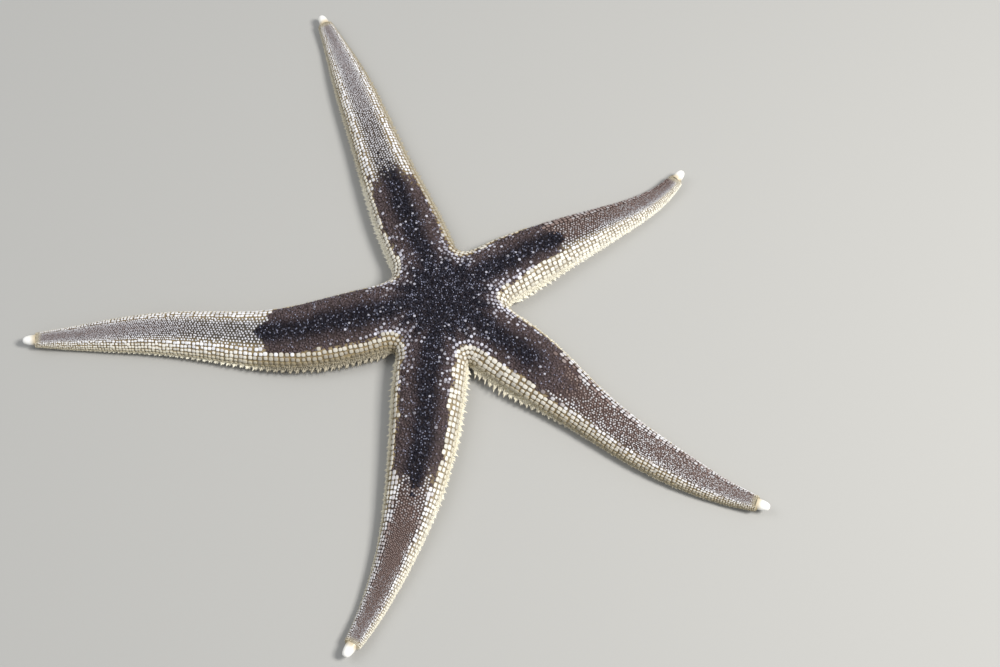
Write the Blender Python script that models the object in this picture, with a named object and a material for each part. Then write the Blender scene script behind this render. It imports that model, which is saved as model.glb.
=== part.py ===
"""A sand star (Luidia foliolata), life size, resting on its underside.

Five unequal arms grow from a small disc. Each arm is an inner and an outer length and the
calcite plate that ends it. A furrow for the tube feet runs along the underside of every arm
to the mouth, and a fringe of spines stands along both edges.

Lengths are in millimetres here and become metres where a mesh is made.
"""

import math

import bmesh
import bpy
from mathutils import Vector

MM = 0.001

# Each arm: its length from the middle of the disc, its headings in degrees anticlockwise from
# +X, and its half widths without spines, both at the disc, each quarter and the tip.
ARMS = {
    "left": (130.3, (193.0, 194.8, 174.5, 182.2, 186.0), (10.5, 11.6, 8.8, 6.3, 2.2)),
    "back": (124.8, (111.0, 112.0, 109.6, 110.5, 115.5), (10.4, 10.3, 8.1, 6.2, 2.2)),
    "right_back": (93.0, (38.0, 31.0, 28.0, 31.0, 54.0), (10.3, 10.9, 8.4, 5.1, 2.2)),
    "right_front": (116.4, (-37.0, -39.0, -39.5, -31.0, -20.0), (10.4, 11.1, 7.8, 5.8, 2.2)),
    "front": (113.2, (-103.0, -94.0, -99.0, -109.0, -120.0), (10.5, 10.9, 8.9, 5.3, 2.3)),
}
WIDE = 10.7  # the half width that HEIGHT and SPINE below belong to
HEIGHT = 9.6
HEIGHT_TAPER = 0.85
EDGE_SHARE = 0.34  # the arm's edge stands at this share of its height
ARCH = 2.4  # the exponent of the arched back: 2 is an ellipse, more is squarer

INNER_SHARE = 0.44  # where an arm's inner length ends, as a share of its length
GAP = 0.3
TIP_LENGTH = 3.6
PLATE_SHARE = 0.8  # the tip plate's width, as a share of the arm's just before it
PLATE_ROUNDNESS = 2.6
PLATE_STEPS, PLATE_SIDES = 7, 14
TIP_LIFT = 1.4
LIFT_START = 0.86

FURROW_HALF_SHARE = 0.25
FURROW_DEPTH_SHARE = 0.3
FLAT_SHARE = 0.72  # the underside is flat out to this share of the half width

EDGE_THICKNESS = 1.2
EDGE_LEAST_SHARE = 0.3  # of that thickness, which the edge keeps even where the arm is thin
SPINE = 1.5
SPINE_TAPER = 0.75
SPINE_LEAST = 0.12
FIRST_SPINES = 6.0  # the spines reach their full length this far along the arm
SPINE_DROP = 0.35  # how far a spine's tip hangs, as a share of its length
TEETH = 22  # on each edge of the longest arm; a tooth holds the spines of a few plates
VALLEY_SHARE = 0.3

DISC_REACH = 1.75  # the arms are parted from the disc this many half widths out
WEB_SHARE = 0.45  # how far the corners between the arms are filled out towards a straight edge
CROWN = 0.12  # how much the disc's middle rises above the roots of the arms
CROWN_RINGS = (0.3, 0.55, 0.75, 0.9, 1.0)  # from the middle of the disc to its outline
HOLLOW = 1.4  # how fast the hollows between the arms fade towards the middle of the disc
BEVEL_SHARE = 0.16  # how much of the disc's underside slopes up to its edge
MOUTH_RADIUS = 6.0
MOUTH_DEPTH = 2.4
JAWS = 5
JAW_STEPS = 6  # points round each jaw
JAW_CLEARANCE = 0.25  # the jaws hang this far above the surface below
JAW_BEVEL = 0.5
JAW_REACH = 2.2  # the opening's mean radius, which the jaws' points cross by JAW_POINT
JAW_POINT = 0.6

BACK_SHARES = (0.93, 0.75, 0.45, 0.0, -0.45, -0.75, -0.93)
UNDER_SHARES = (-FLAT_SHARE, -FURROW_HALF_SHARE, 0.0, FURROW_HALF_SHARE, FLAT_SHARE)

SKIN_COLOUR = (0.20, 0.15, 0.15, 1.0)
PALE_COLOUR = (0.55, 0.48, 0.42, 1.0)
PLATE_COLOUR = (0.85, 0.82, 0.74, 1.0)


def smoothstep(low, high, value):
    share = min(1.0, max(0.0, (value - low) / (high - low)))
    return share * share * (3.0 - 2.0 * share)


def smooth_through(values, t):
    """The value at t on a Catmull-Rom curve through evenly spaced values from t = 0 to 1."""
    last = len(values) - 1
    k = min(int(t * last), last - 1)
    u = t * last - k
    one, two = values[k], values[k + 1]
    before = values[k - 1] if k > 0 else 2.0 * one - two
    after = values[k + 2] if k + 2 <= last else 2.0 * two - one
    slope, bend = two - before, 2.0 * before - 5.0 * one + 4.0 * two - after
    return one + 0.5 * u * (slope + u * (bend + u * (3.0 * (one - two) + after - before)))


def arched(share, edge, top):
    """The height of the back at a share of the half width."""
    return edge + (top - edge) * (1.0 - abs(share) ** ARCH) ** (1.0 / ARCH)


class Arm:
    """The centre line and the sections of one arm."""

    STEPS = 240

    def __init__(self, name, length, headings, half_widths):
        self.name = name
        self.length = length
        self.headings = headings
        self.half_widths = half_widths
        self.root = DISC_REACH * WIDE / length
        self.tip = 1.0 - TIP_LENGTH / length
        self.line = self.centre_line()

    def heading(self, t):
        return math.radians(smooth_through(self.headings, t))

    def centre_line(self):
        points = [Vector((0.0, 0.0, 0.0))]
        step = self.length / self.STEPS
        for k in range(self.STEPS):
            turn = self.heading((k + 0.5) / self.STEPS)
            points.append(points[-1] + step * Vector((math.cos(turn), math.sin(turn), 0.0)))
        return points

    def centre(self, t):
        place = min(max(t, 0.0), 1.0) * self.STEPS
        k = min(int(place), self.STEPS - 1)
        return self.line[k].lerp(self.line[k + 1], place - k)

    def leftward(self, t):
        turn = self.heading(t)
        return Vector((-math.sin(turn), math.cos(turn), 0.0))

    def half_width(self, t):
        return smooth_through(self.half_widths, t)

    def top(self, t):
        return HEIGHT * (self.half_width(t) / WIDE) ** HEIGHT_TAPER

    def edge(self, t):
        return EDGE_SHARE * self.top(t)

    def lift(self, t):
        return TIP_LIFT * smoothstep(LIFT_START, 1.0, t)

    def point(self, t, across, height):
        place = self.centre(t) + across * self.leftward(t)
        place.z = height + self.lift(t)
        return place

    def spine(self, t):
        """How far the fringe stands out: nothing at the disc, and shorter towards the tip."""
        grown = smoothstep(0.0, FIRST_SPINES, (t - self.root) * self.length)
        return SPINE * grown * (self.half_width(t) / WIDE) ** SPINE_TAPER

    def section(self, t, spine_share):
        """The points round the arm at t, from its left spine over the back."""
        half, top, edge = self.half_width(t), self.top(t), self.edge(t)
        thick = 0.5 * EDGE_THICKNESS * min(1.0, edge / self.edge(0.0) + EDGE_LEAST_SHARE)
        spine = max(SPINE_LEAST, spine_share * self.spine(t))
        drop = SPINE_DROP * spine
        furrow = FURROW_DEPTH_SHARE * top
        points = [self.point(t, half + spine, edge - drop), self.point(t, half, edge + thick)]
        points += [
            self.point(t, share * half, arched(share, edge + thick, top)) for share in BACK_SHARES
        ]
        points += [
            self.point(t, -half, edge + thick),
            self.point(t, -half - spine, edge - drop),
            self.point(t, -half, edge - thick),
        ]
        points += [
            self.point(t, share * half, furrow if share == 0.0 else 0.0) for share in UNDER_SHARES
        ]
        points.append(self.point(t, half, edge - thick))
        return points


def material(name, colour, roughness):
    made = bpy.data.materials.new(name)
    made.use_nodes = True
    shader = made.node_tree.nodes["Principled BSDF"]
    shader.inputs["Base Color"].default_value = colour
    shader.inputs["Roughness"].default_value = roughness
    shader.inputs["Metallic"].default_value = 0.0
    made.diffuse_color = colour
    return made


def add_object(name, bm, finish, collection):
    bmesh.ops.scale(bm, vec=(MM, MM, MM), verts=bm.verts)
    bmesh.ops.recalc_face_normals(bm, faces=bm.faces)
    if bm.calc_volume(signed=True) < 0.0:
        bmesh.ops.reverse_faces(bm, faces=bm.faces)
    mesh = bpy.data.meshes.new(name)
    bm.to_mesh(mesh)
    bm.free()
    mesh.materials.append(finish)
    mesh.shade_smooth()
    mesh.set_sharp_from_angle(angle=math.radians(40.0))
    made = bpy.data.objects.new(name, mesh)
    collection.objects.link(made)
    return made


def loft(rings):
    """A closed body through rings that have the same number of points, with flat ends."""
    bm = bmesh.new()
    loops = [[bm.verts.new(point) for point in ring] for ring in rings]
    count = len(loops[0])
    for one, two in zip(loops, loops[1:]):
        for k in range(count):
            bm.faces.new((one[k], one[(k + 1) % count], two[(k + 1) % count], two[k]))
    bm.faces.new(reversed(loops[0]))
    bm.faces.new(loops[-1])
    return bm


def arm_length(arm, start, end, teeth):
    """One length of an arm, its edges cut into teeth."""
    stations = 2 * teeth
    rings = []
    for k in range(stations + 1):
        t = start + (end - start) * k / stations
        rings.append(arm.section(t, 1.0 if k % 2 else VALLEY_SHARE))
    return loft(rings)


def tip_plate(arm):
    """The rounded plate that ends an arm."""
    rings = []
    steps, sides = PLATE_STEPS, PLATE_SIDES
    start = arm.tip + GAP / arm.length
    half, top = PLATE_SHARE * arm.half_width(arm.tip), arm.top(arm.tip)
    for k in range(steps):
        along = math.sin(0.5 * math.pi * k / steps)
        t = start + (1.0 - start) * along
        swell = math.sqrt(1.0 - (k / steps) ** PLATE_ROUNDNESS)
        ring = []
        for side in range(sides):
            angle = 2.0 * math.pi * side / sides
            across = half * swell * math.cos(angle)
            up = 0.5 * top * (1.0 + swell * math.sin(angle))
            ring.append(arm.point(t, across, up))
        rings.append(ring)
    return loft(rings)


def crossing(corner, along, other_corner, other_along):
    """Where two lines in the ground plane meet."""
    cross = along.x * other_along.y - along.y * other_along.x
    between = other_corner - corner
    share = (between.x * other_along.y - between.y * other_along.x) / cross
    return corner + share * along


def disc_columns(arms):
    """The disc's outline as (place, share of the half width), going round anticlockwise."""
    columns = []
    for arm, following in zip(arms, arms[1:] + arms[:1]):
        centre, left = arm.centre(arm.root), arm.leftward(arm.root)
        half = arm.half_width(arm.root)
        for share in (-1.0, -0.93, -0.75, -0.45, -FURROW_HALF_SHARE, 0.0):
            columns.append((centre + share * half * left, share))
        for share in (FURROW_HALF_SHARE, 0.45, 0.75, 0.93, 1.0):
            columns.append((centre + share * half * left, share))
        next_left = following.leftward(following.root)
        next_corner = following.centre(following.root)
        next_corner = next_corner - following.half_width(following.root) * next_left
        inward = Vector((left.y, -left.x, 0.0))
        next_inward = Vector((next_left.y, -next_left.x, 0.0))
        corner = centre + half * left
        notch = crossing(corner, inward, next_corner, next_inward)
        columns.append((notch.lerp(corner.lerp(next_corner, 0.5), WEB_SHARE), 1.0))
    return columns


def disc(arms):
    """The disc: the stubs of the five arms run together under one crown, with the mouth's
    recess and the starts of the furrows underneath."""
    mean = sum(arm.top(arm.root) for arm in arms) / len(arms)
    columns = disc_columns(arms)
    count = len(columns)
    edge = EDGE_SHARE * mean
    thick = 0.5 * EDGE_THICKNESS
    bm = bmesh.new()

    def add_ring(shares, height_of):
        ring = []
        for (place, across), share in zip(columns, shares):
            spot = share * place
            ring.append(bm.verts.new((spot.x, spot.y, height_of(share, across))))
        return ring

    def back(share, across):
        rise = 1.0 + CROWN * (1.0 - share**2)
        return rise * arched(across * share**HOLLOW, edge + thick, mean)

    def under(share, across):
        reach = abs(across) * share
        if across == 0.0:
            return FURROW_DEPTH_SHARE * mean
        return (edge - thick) * smoothstep(FLAT_SHARE, 1.0, reach)

    def join(one, two):
        for k in range(count):
            after = (k + 1) % count
            bm.faces.new((one[k], one[after], two[after], two[k]))

    back_rings = [add_ring([share] * count, back) for share in CROWN_RINGS]
    summit = bm.verts.new((0.0, 0.0, mean * (1.0 + CROWN)))
    for k in range(count):
        bm.faces.new((summit, back_rings[0][k], back_rings[0][(k + 1) % count]))
    mouth = [MOUTH_RADIUS / place.length for place, _ in columns]
    between = [0.5 * (1.0 + share) for share in mouth]
    outer = [BEVEL_SHARE + (1.0 - BEVEL_SHARE) * share for share in between]
    under_rings = [add_ring([1.0] * count, under)]
    under_rings += [add_ring(shares, under) for shares in (outer, between, mouth)]
    under_rings.append(add_ring(mouth, lambda share, across: MOUTH_DEPTH))
    for rings in (back_rings, [back_rings[-1], under_rings[0]], under_rings):
        for one, two in zip(rings, rings[1:]):
            join(one, two)
    bm.faces.new(under_rings[-1])
    return bm


def mouth_jaws(arms):
    """The ring of five pointed jaws that fills the mouth's recess, open in the middle."""
    bm = bmesh.new()
    count = JAWS * JAW_STEPS
    first = arms[0].heading(arms[0].root)
    low, high = JAW_CLEARANCE, MOUTH_DEPTH - GAP
    rim = MOUTH_RADIUS - GAP
    loops = []
    for radius, pointed, height in (
        (rim, 0.0, high),
        (rim, 0.0, low + JAW_BEVEL),
        (rim - JAW_BEVEL, 0.0, low),
        (JAW_REACH + JAW_BEVEL, JAW_POINT, low),
        (JAW_REACH, JAW_POINT, low + JAW_BEVEL),
        (JAW_REACH, JAW_POINT, high),
    ):
        loop = []
        for k in range(count):
            angle = 2.0 * math.pi * k / count
            reach = radius * (1.0 + pointed * math.cos(JAWS * angle))
            turn = first + angle
            loop.append(bm.verts.new((reach * math.cos(turn), reach * math.sin(turn), height)))
        loops.append(loop)
    for one, two in zip(loops, loops[1:] + loops[:1]):
        for k in range(count):
            after = (k + 1) % count
            bm.faces.new((one[k], one[after], two[after], two[k]))
    return bm


def stand_on_origin(objects):
    """Moves the model so that the middle of its footprint is at the origin."""
    points = [vertex.co for item in objects for vertex in item.data.vertices]
    shift = Vector(
        (
            -0.5 * (min(p.x for p in points) + max(p.x for p in points)),
            -0.5 * (min(p.y for p in points) + max(p.y for p in points)),
            0.0,
        )
    )
    for item in objects:
        item.location = shift


def build():
    for leftover in list(bpy.data.objects):
        bpy.data.objects.remove(leftover)
    collection = bpy.data.collections.new("sand_star")
    bpy.context.scene.collection.children.link(collection)
    dark = material("dark_skin", SKIN_COLOUR, 0.6)
    pale = material("pale_skin", PALE_COLOUR, 0.6)
    plate = material("tip_plate", PLATE_COLOUR, 0.45)

    arms = [Arm(name, *sizes) for name, sizes in ARMS.items()]
    arms.sort(key=lambda arm: arm.heading(arm.root) % (2.0 * math.pi))
    longest = max(arm.length for arm in arms)
    objects = [
        add_object("disc", disc(arms), dark, collection),
        add_object("mouth_jaws", mouth_jaws(arms), plate, collection),
    ]
    for arm in arms:
        gap = GAP / arm.length
        teeth = TEETH * arm.length / longest
        inner_teeth = round(teeth * (INNER_SHARE - arm.root) / (arm.tip - arm.root))
        inner = arm_length(arm, arm.root + gap, INNER_SHARE, inner_teeth)
        outer = arm_length(arm, INNER_SHARE + gap, arm.tip, round(teeth) - inner_teeth)
        objects += [
            add_object(f"arm_{arm.name}_inner", inner, dark, collection),
            add_object(f"arm_{arm.name}_outer", outer, pale, collection),
            add_object(f"arm_{arm.name}_tip", tip_plate(arm), plate, collection),
        ]
    stand_on_origin(objects)


build()
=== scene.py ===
"""The looks of a sand star (Luidia foliolata) that lies on its underside.

One skin replaces the flesh. Table-shaped paxillae cover its back, in rows along the edges and
finer in the middle, with two tiers of spines round the edge, and tube feet, guard spines and
jaws underneath. Everything is made in millimetres from the middle of the disc.
"""

import math
from dataclasses import dataclass

import bmesh
import bpy
import numpy as np
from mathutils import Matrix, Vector


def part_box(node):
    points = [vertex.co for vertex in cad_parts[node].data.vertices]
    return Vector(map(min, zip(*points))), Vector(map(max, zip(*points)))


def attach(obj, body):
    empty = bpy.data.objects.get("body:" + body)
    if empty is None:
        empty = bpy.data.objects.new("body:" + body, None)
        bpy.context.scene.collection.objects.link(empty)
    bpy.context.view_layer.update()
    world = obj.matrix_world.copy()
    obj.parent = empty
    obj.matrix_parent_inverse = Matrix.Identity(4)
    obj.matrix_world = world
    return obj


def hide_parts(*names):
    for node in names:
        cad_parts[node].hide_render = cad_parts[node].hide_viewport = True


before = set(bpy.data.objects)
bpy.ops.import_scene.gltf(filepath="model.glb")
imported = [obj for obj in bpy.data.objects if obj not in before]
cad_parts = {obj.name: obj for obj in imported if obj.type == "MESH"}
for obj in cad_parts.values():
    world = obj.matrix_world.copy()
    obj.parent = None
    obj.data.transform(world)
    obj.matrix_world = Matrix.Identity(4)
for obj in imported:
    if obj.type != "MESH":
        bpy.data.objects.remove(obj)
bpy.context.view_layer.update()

scene = bpy.context.scene
MM = 0.001
RNG = np.random.default_rng(11)
SPREAD = np.random.default_rng(29)

# --- The animal's sizes

WIDE = 10.7  # the half width that HEIGHT belongs to
HEIGHT = 9.6
HEIGHT_TAPER = 0.85
EDGE_SHARE = 0.34  # the edge stands at this share of the height
ARCH = 2.4
COAT = 0.5  # how far the skin lies inside the tops of the paxillae
CROWN = 0.12
CROWN_RADIUS = 18
WEB_END = 21.5  # the web between two arms runs into their straight edges this far out
WEB_PULL = 0.8
TIP_LENGTH = 3.6
TIP_LIFT = 1.4
LIFT_START = 0.86
BELLY = 0.45  # the height of the skin under the arms
FURROW_SHARE = 0.27
FURROW_DEPTH = 0.3
MOUTH_RADIUS = 6
PLATE_PITCH = 1.42
EDGE_ROWS = 5
BAND_MOST = 0.56  # the most of the way to the ridge that the rows of large plates take up


def smoothstep(low, high, value):
    share = np.clip((value - low) / (high - low), 0, 1)
    return share * share * (3 - 2 * share)


def smooth_through(values, t):
    """The values at t on a Catmull-Rom curve through evenly spaced ones from t = 0 to 1."""
    last = len(values) - 1
    ends = (2 * values[0] - values[1], 2 * values[-1] - values[-2])
    padded = np.array((ends[0], *values, ends[1]))
    place = np.clip(t, 0, 1) * last
    k = np.minimum(place.astype(int), last - 1)
    u = place - k
    before, one, two, after = (padded[k + step] for step in range(4))
    slope, bend = two - before, 2 * before - 5 * one + 4 * two - after
    return one + 0.5 * u * (slope + u * (bend + u * (3 * (one - two) + after - before)))


def running(steps, axis=0):
    """The sums of the steps so far, from 0."""
    return np.insert(np.cumsum(steps, axis=axis), 0, 0, axis=axis)


def crossed(one, two):
    """Every pair of a value from each, as two flat arrays."""
    return [grid.ravel() for grid in np.meshgrid(one, two, indexing="ij")]


def unit(vectors):
    return vectors / np.maximum(np.linalg.norm(vectors, axis=-1, keepdims=True), 1e-9)


def arched(share):
    """The rise of the back from its edge, at a share of the way in to the full height."""
    return (1 - (1 - np.clip(share, 0, 1)) ** ARCH) ** (1 / ARCH)


@dataclass
class Arm:
    """One arm: its centre line, its sizes and its markings.

    Five values are at the disc, each quarter and the tip. Of two sets of them, the first is for
    the left side and the second for the right.
    """

    name: str
    length: float
    headings: tuple  # in degrees
    half_widths: tuple  # with the coat
    border: float  # where the dark part ends
    blur: float  # how gradually it ends
    shades: tuple  # of the rest, at even steps from there to the tip
    pale_rows: tuple  # how many rows of pale plates edge the sides
    sandy: tuple  # how much each edge, beside the dark part and beyond it, is painted sand-coloured and shaded; below 0 it is painted whiter and lit instead
    spine_reach: tuple  # the lengths of the edge spines, as shares of the full ones
    fuzz_reach: tuple  # how wide the band of small spines is, beside the dark part and beyond it
    plate_length: float
    mixed: float = 0.4  # how varied the outer paxillae are
    core_end: float = 2  # where the black middle gives out, which is past the tip if not given
    border_lean: float = 0  # how much further out the dark part ends on the left edge
    lean: float = 0  # how much darker the outer part is on its left than in the middle

    def __post_init__(self):
        steps = 600
        self.flesh_end = self.length - TIP_LENGTH
        self.places = np.linspace(0, self.length, steps + 1)
        ahead, _ = self.ways(0.5 * (self.places[1:] + self.places[:-1]))
        self.line = running(ahead * (self.length / steps))

    def ways(self, along):
        """The ways along the arm and to its left, in plan."""
        turn = np.radians(smooth_through(self.headings, along / self.length))
        ahead = np.stack((np.cos(turn), np.sin(turn)), axis=-1)
        return ahead, ahead[..., ::-1] * (-1, 1)

    def centre(self, along):
        x = np.interp(along, self.places, self.line[:, 0])
        y = np.interp(along, self.places, self.line[:, 1])
        return np.stack((x, y), axis=-1)

    def beside(self, along, sign):
        """The skin's edge on the left, where sign is 1, or on the right, where it is -1."""
        return self.centre(along) + sign * self.half_width(along)[:, None] * self.ways(along)[1]

    def full_half_width(self, along):
        return smooth_through(self.half_widths, along / self.length)

    def shrink(self, along):
        return self.full_half_width(along) / WIDE

    def half_width(self, along):
        return self.full_half_width(along) - COAT

    def full_height(self, along):
        return HEIGHT * self.shrink(along) ** HEIGHT_TAPER

    def lift(self, along):
        return TIP_LIFT * smoothstep(LIFT_START, 1, along / self.length)

    def plate_pitch(self, along):
        """The spacing of the rows of large plates, which shrink slower than the arm does."""
        return PLATE_PITCH * np.minimum(1, self.full_half_width(along) / 8.5) ** 0.6

    def plate_step(self, along):
        """The spacing of the large plates along their rows."""
        return self.plate_length * np.minimum(1, self.full_half_width(along) / 9.5) ** 0.9


# In their order round the disc, anticlockwise.
arms = [
    Arm(
        "right_back", 93, (38, 31, 28, 31, 54), (10.3, 10.9, 8.4, 5.1, 2.2),
        border=0.44, blur=0.015, shades=(0.55, 0.62, 0.66, 0.72),
        pale_rows=((5.2, 3.2, 1, 0.9, 0.9), (4.6, 4.7, 4.8, 5, 5)),
        sandy=((0.2, 0.2), (-0.6, -1)),
        spine_reach=((0.6, 0.6, 0.5, 0.4, 0.4), (0.8, 0.9, 0.6, 0.5, 0.4)),
        fuzz_reach=(0.75, 0.8), plate_length=1.62, mixed=0.65, lean=0.45,
    ),
    Arm(
        "back", 124.8, (111, 112, 109.6, 110.5, 115.5), (10.4, 10.3, 8.1, 6.2, 2.2),
        border=0.395, blur=0.05, shades=(0.15, 0.25, 0.42, 0.62),
        pale_rows=((4.4, 3, 3.4, 4, 4), (4.6, 3, 3.4, 3.6, 3.6)),
        sandy=((-0.4, 0.35), (0.85, 0.85)),
        spine_reach=((0.75, 0.8, 0.6, 0.5, 0.4), (0.7, 0.75, 0.9, 0.7, 0.5)),
        fuzz_reach=(1, 1.1), plate_length=1.47,
    ),
    Arm(
        "left", 130.3, (193, 194.8, 174.5, 182.2, 186), (10.5, 11.6, 8.8, 6.3, 2.2),
        border=0.418, blur=0.004, shades=(0, 0.2, 0.5, 0.6),
        pale_rows=((5, 4.4, 3.4, 4.2, 4), (4.4, 1.2, 2.2, 3.4, 3.2)),
        sandy=((0.95, -0.2), (0.2, 0.1)),
        spine_reach=((1.1, 1.05, 0.75, 0.5, 0.4), (0.6, 0.5, 0.4, 0.35, 0.3)),
        fuzz_reach=(0.7, 0.2), plate_length=1.47,
    ),
    Arm(
        "front", 113.2, (-103, -94, -99, -109, -120), (10.5, 10.9, 8.9, 5.3, 2.3),
        border=0.52, blur=0.03, shades=(0.35, 1, 0.8, 0.5),
        pale_rows=((5, 4.5, 3.6, 3.8, 3.6), (4.4, 3.3, 3.2, 2.6, 2.4)),
        sandy=((-0.3, -0.7), (0.2, 0.1)),
        spine_reach=((0.8, 0.8, 0.75, 0.45, 0.3), (0.75, 0.75, 0.65, 0.5, 0.35)),
        fuzz_reach=(0.7, 0.7), plate_length=1.72, mixed=0.65,
    ),
    Arm(
        "right_front", 116.4, (-37, -39, -39.5, -31, -20), (10.4, 11.1, 7.8, 5.8, 2.2),
        border=0.39, blur=0.06, shades=(0.85, 0.65, 0.7, 0.65),
        pale_rows=((4.4, 2.2, 1.3, 1.1, 1.1), (4.9, 4.9, 4.2, 4.2, 4)),
        sandy=((0, 0), (0.35, 0.6)),
        spine_reach=((0.6, 0.5, 0.45, 0.4, 0.35), (1.1, 1.15, 0.45, 0.35, 0.3)),
        fuzz_reach=(0.65, 0.55), plate_length=1.75, mixed=0.8, core_end=0.35, border_lean=-0.06,
    ),
]

# --- The surface of the skin


def web_curve(arm, following, share):
    """The edge of the web between an arm's left side and the next arm's right side."""
    end = np.array([WEB_END])
    start, finish = arm.beside(end, 1)[0], following.beside(end, -1)[0]
    ahead, next_ahead = arm.ways(end)[0][0], following.ways(end)[0][0]
    reach = np.linalg.solve(np.stack((ahead, -next_ahead), axis=1), finish - start)[0]
    corner = start + reach * ahead
    one, two = start + WEB_PULL * (corner - start), finish + WEB_PULL * (corner - finish)
    s = share[:, None]
    cubic = (1 - s) ** 3 * start + 3 * (1 - s) ** 2 * s * one
    return cubic + 3 * (1 - s) * s**2 * two + s**3 * finish


class Side:
    """The surface of one side of an arm, from the middle of the web beside it to the tip.

    A place on it is a distance along the arm's ridge and a share of the way up over the back
    from the edge (0) to the ridge (1), or down and in under the arm to the furrow's middle.
    """

    WEB_STEPS, ARM_STEPS, FINE = 40, 260, 64

    def __init__(self, arm, sign, web):
        self.arm = arm
        self.sign = sign
        self.seed = arms.index(arm) + 0.5 * sign
        self.name = "on_left" if sign > 0 else "on_right"
        self.last = arm.flesh_end + 0.7
        inner = np.linspace(0, WEB_END, self.WEB_STEPS, endpoint=False)
        outer = np.linspace(WEB_END, self.last, self.ARM_STEPS)
        self.along = np.concatenate((inner, outer))
        self.edge = np.concatenate((web(inner / WEB_END), arm.beside(outer, sign)))
        self.ridge = arm.centre(self.along)
        angle = np.linspace(0, 0.5 * math.pi, 3 * self.FINE)
        self.back = self.lines(1 - np.cos(angle) ** (2 / ARCH), self.back_height)
        self.under = self.lines(1 - np.cos(angle), self.under_height)
        self.arc = np.linalg.norm(np.diff(self.back, axis=1), axis=2).sum(axis=1)

    def own(self, pair):
        """The first of two values for a left side, and the second for a right one."""
        return pair[0 if self.sign > 0 else 1]

    def lines(self, share, height_at):
        """Lines of evenly spaced points from the edge to the ridge, at these shares in plan."""
        share[-1] = 1
        way = self.ridge - self.edge
        place = self.edge[:, None] + share[None, :, None] * way[:, None]
        width = np.linalg.norm(way, axis=1)[:, None]
        radius = np.linalg.norm(place, axis=2)
        height = height_at(width * share, width * (1 - share), radius, *self.sizes())
        height += self.arm.lift(self.along)[:, None]
        points = np.concatenate((place, height[..., None]), axis=2)
        run = running(np.linalg.norm(np.diff(points, axis=1), axis=2), axis=1)
        even = np.linspace(0, 1, self.FINE + 1)
        made = [
            [np.interp(even * along[-1], along, values) for values in line.T]
            for line, along in zip(points, run)
        ]
        return np.array(made).transpose(0, 2, 1)

    def sizes(self):
        """The half width, edge and top, which all the arms share at the web's middle."""
        held = np.maximum(self.along, WEB_END)
        own = smoothstep(0, WEB_END, self.along)
        half = WIDE + own * (self.arm.full_half_width(held) - WIDE) - COAT
        height = HEIGHT + own * (self.arm.full_height(held) - HEIGHT)
        return half[:, None], EDGE_SHARE * height[:, None], height[:, None] - COAT

    def back_height(self, from_edge, from_ridge, radius, half, edge, top):
        crown = 1 + CROWN * np.clip(1 - (radius / CROWN_RADIUS) ** 2, 0, 1)
        return edge + (top * crown - edge) * arched(from_edge / half)

    def under_height(self, from_edge, from_ridge, radius, half, edge, top):
        belly = np.minimum(BELLY, 0.5 * edge)
        height = belly + (edge - belly) * (1 - arched(from_edge / (0.28 * half)))
        groove = np.cos(0.5 * math.pi * np.clip(from_ridge / (FURROW_SHARE * half), 0, 1)) ** 1.4
        mouth = smoothstep(MOUTH_RADIUS + 0.8, MOUTH_RADIUS - 1, radius)
        return height + np.maximum(groove * FURROW_DEPTH, 0.24 * mouth) * top

    def read(self, grid, along, share):
        """The grid's values at places along the arm and shares of the way in."""
        i = np.interp(along, self.along, np.arange(len(self.along)))
        j = np.clip(share, 0, 1) * self.FINE
        i0 = np.minimum(i.astype(int), len(self.along) - 2)
        j0 = np.minimum(j.astype(int), self.FINE - 1)
        u, v = (i - i0)[:, None], (j - j0)[:, None]
        low = grid[i0, j0] * (1 - v) + grid[i0, j0 + 1] * v
        high = grid[i0 + 1, j0] * (1 - v) + grid[i0 + 1, j0 + 1] * v
        return low * (1 - u) + high * u

    def frame(self, along, share):
        """Places on the back, the way up from it and the way along it."""
        step, part = 0.25, 0.02
        ahead = self.read(self.back, np.minimum(along + step, self.last), share)
        behind = self.read(self.back, np.maximum(along - step, 0), share)
        inward = self.read(self.back, along, np.clip(share + part, 0, 1))
        inward -= self.read(self.back, along, np.clip(share - part, 0, 1))
        onward = unit(ahead - behind)
        up = unit(-self.sign * np.cross(onward, inward))
        return self.read(self.back, along, share), up, onward

    def arc_at(self, along):
        return np.interp(along, self.along, self.arc)

    def band(self, along):
        """How far up over the back the rows of large plates reach, as a share of the way."""
        arc = self.arc_at(along)
        return np.minimum(EDGE_ROWS * self.arm.plate_pitch(along), BAND_MOST * arc) / arc


sides = {}
for arm, following in zip(arms, arms[1:] + arms[:1]):
    for one, sign in ((arm, 1), (following, -1)):
        sides[one.name, sign] = Side(
            one, sign, lambda s: web_curve(arm, following, 0.5 - 0.5 * sign * s)
        )

# --- The markings, which skin and coat share


def wander(along, seed, pitch):
    """A smooth wavering between -1 and 1 along an arm."""
    phase = 1.7 * seed
    total = np.sin(along / pitch + phase) + 0.7 * np.sin(2.3 * along / pitch + 2.1 * phase)
    return (total + 0.5 * np.sin(5.1 * along / pitch + 3.3 * phase)) / 2.2


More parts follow.
